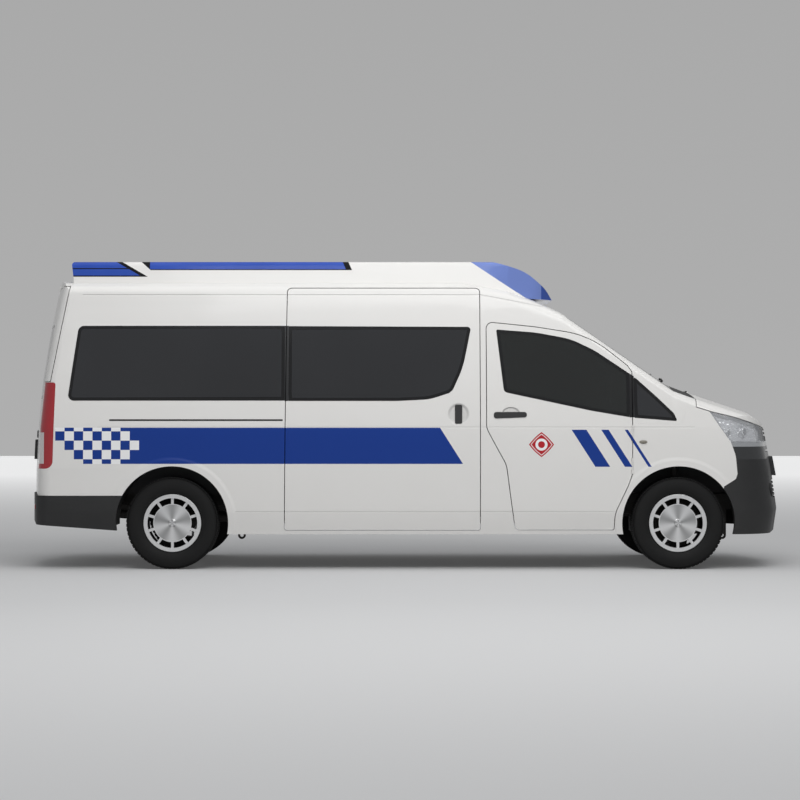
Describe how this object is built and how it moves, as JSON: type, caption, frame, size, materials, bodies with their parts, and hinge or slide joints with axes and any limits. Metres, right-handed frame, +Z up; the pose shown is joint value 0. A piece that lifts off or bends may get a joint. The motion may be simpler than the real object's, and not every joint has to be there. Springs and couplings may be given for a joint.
{
  "type": "ambulance van",
  "caption": "High-roof ambulance van with hinged front doors, tailgate and bonnet, steered front wheels, rolling wheels and blue warning lights.",
  "frame": {"origin": "on the ground under the middle of the vehicle's length and width", "axes": "+X forward, +Y to the vehicle's left, +Z up"},
  "size_m": [5.9148, 1.964, 2.3639],
  "materials": {
    "body_paint": "gloss",
    "glazing": "polished",
    "black_plastic": "grained",
    "blue_lens": "polished",
    "clear_lens": "polished",
    "lamp_silver": "polished",
    "red_lens": "polished",
    "chassis_steel": "satin",
    "floor_steel": "satin",
    "cast_metal": "rough",
    "exhaust_steel": "dull",
    "seat_fabric": "woven",
    "interior_plastic": "grained",
    "tyre_rubber": "matte",
    "wheel_silver": "satin"
  },
  "bodies": {
    "body": {"floor_pan": "floor_steel", "chassis_frame": "chassis_steel", "roof_panel": "body_paint", "roof_cap": "body_paint", "cowl_panel": "black_plastic", "windscreen": "glazing", "sliding_door": "body_paint", "sliding_door_fittings": "black_plastic", "front_bumper": "black_plastic", "grille": "black_plastic", "headlamp_lenses": "clear_lens", "headlamp_housings": "lamp_silver", "tail_lamps": "red_lens", "rear_bumper": "black_plastic", "wheel_liners": "black_plastic", "front_seats": "seat_fabric", "dashboard": "interior_plastic", "steering_wheel": "interior_plastic", "partition": "floor_steel", "engine_block": "cast_metal", "rear_axle": "chassis_steel", "leaf_springs": "chassis_steel", "exhaust": "exhaust_steel", "fuel_tank": "black_plastic", "front_suspension": "chassis_steel", "front_warning_light": "blue_lens", "side_warning_lights": "blue_lens", "body_side_right": "body_paint", "front_fender_right": "body_paint", "side_windows_right": "glazing", "body_side_left": "body_paint", "front_fender_left": "body_paint", "side_windows_left": "glazing"},
    "door_right": {"front_door_right": "body_paint", "front_door_window_right": "glazing", "front_door_handle_right": "black_plastic"},
    "knuckle_right": {"front_knuckle_right": "cast_metal"},
    "door_left": {"front_door_left": "body_paint", "front_door_window_left": "glazing", "front_door_handle_left": "black_plastic"},
    "knuckle_left": {"front_knuckle_left": "cast_metal"},
    "tailgate": {"tailgate": "body_paint", "tailgate_window": "glazing"},
    "bonnet": {"bonnet": "body_paint"},
    "wheel_front_right": {"tyre_front_right": "tyre_rubber", "wheel_front_right": "wheel_silver"},
    "wheel_front_left": {"tyre_front_left": "tyre_rubber", "wheel_front_left": "wheel_silver"},
    "wheel_rear_right": {"tyre_rear_right": "tyre_rubber", "wheel_rear_right": "wheel_silver"},
    "wheel_rear_left": {"tyre_rear_left": "tyre_rubber", "wheel_rear_left": "wheel_silver"}
  },
  "joints": [
    {"name": "door_right", "type": "hinge", "parent": "body", "child": "door_right", "pos_m": [1.7225, -0.977, 0.9], "axis": [0, 0, 1], "range_deg": [0, 70]},
    {"name": "door_left", "type": "hinge", "parent": "body", "child": "door_left", "pos_m": [1.7225, 0.977, 0.9], "axis": [0, 0, -1], "range_deg": [0, 70]},
    {"name": "tailgate", "type": "hinge", "parent": "body", "child": "tailgate", "pos_m": [-2.7465, 0, 2.164], "axis": [0, 1, 0], "range_deg": [0, 85]},
    {"name": "bonnet", "type": "hinge", "parent": "body", "child": "bonnet", "pos_m": [2.2155, 0, 1.361], "axis": [0, -1, 0], "range_deg": [0, 50]},
    {"name": "steer_left", "type": "hinge", "parent": "body", "child": "knuckle_left", "pos_m": [2.0775, 0.655, 0.352], "axis": [0, 0, 1], "range_deg": [-35, 35]},
    {"name": "steer_right", "type": "hinge", "parent": "body", "child": "knuckle_right", "pos_m": [2.0775, -0.655, 0.352], "axis": [0, 0, 1], "range_deg": [-35, 35]},
    {"name": "wheel_front_right", "type": "hinge", "parent": "knuckle_right", "child": "wheel_front_right", "pos_m": [2.0775, -0.82, 0.352], "axis": [0, 1, 0], "continuous": true},
    {"name": "wheel_front_left", "type": "hinge", "parent": "knuckle_left", "child": "wheel_front_left", "pos_m": [2.0775, 0.82, 0.352], "axis": [0, 1, 0], "continuous": true},
    {"name": "wheel_rear_right", "type": "hinge", "parent": "body", "child": "wheel_rear_right", "pos_m": [-1.7825, -0.82, 0.352], "axis": [0, 1, 0], "continuous": true},
    {"name": "wheel_rear_left", "type": "hinge", "parent": "body", "child": "wheel_rear_left", "pos_m": [-1.7825, 0.82, 0.352], "axis": [0, 1, 0], "continuous": true}
  ],
  "couplings": [
    {"joint": "steer_right", "follows": "steer_left", "ratio": 1}
  ]
}
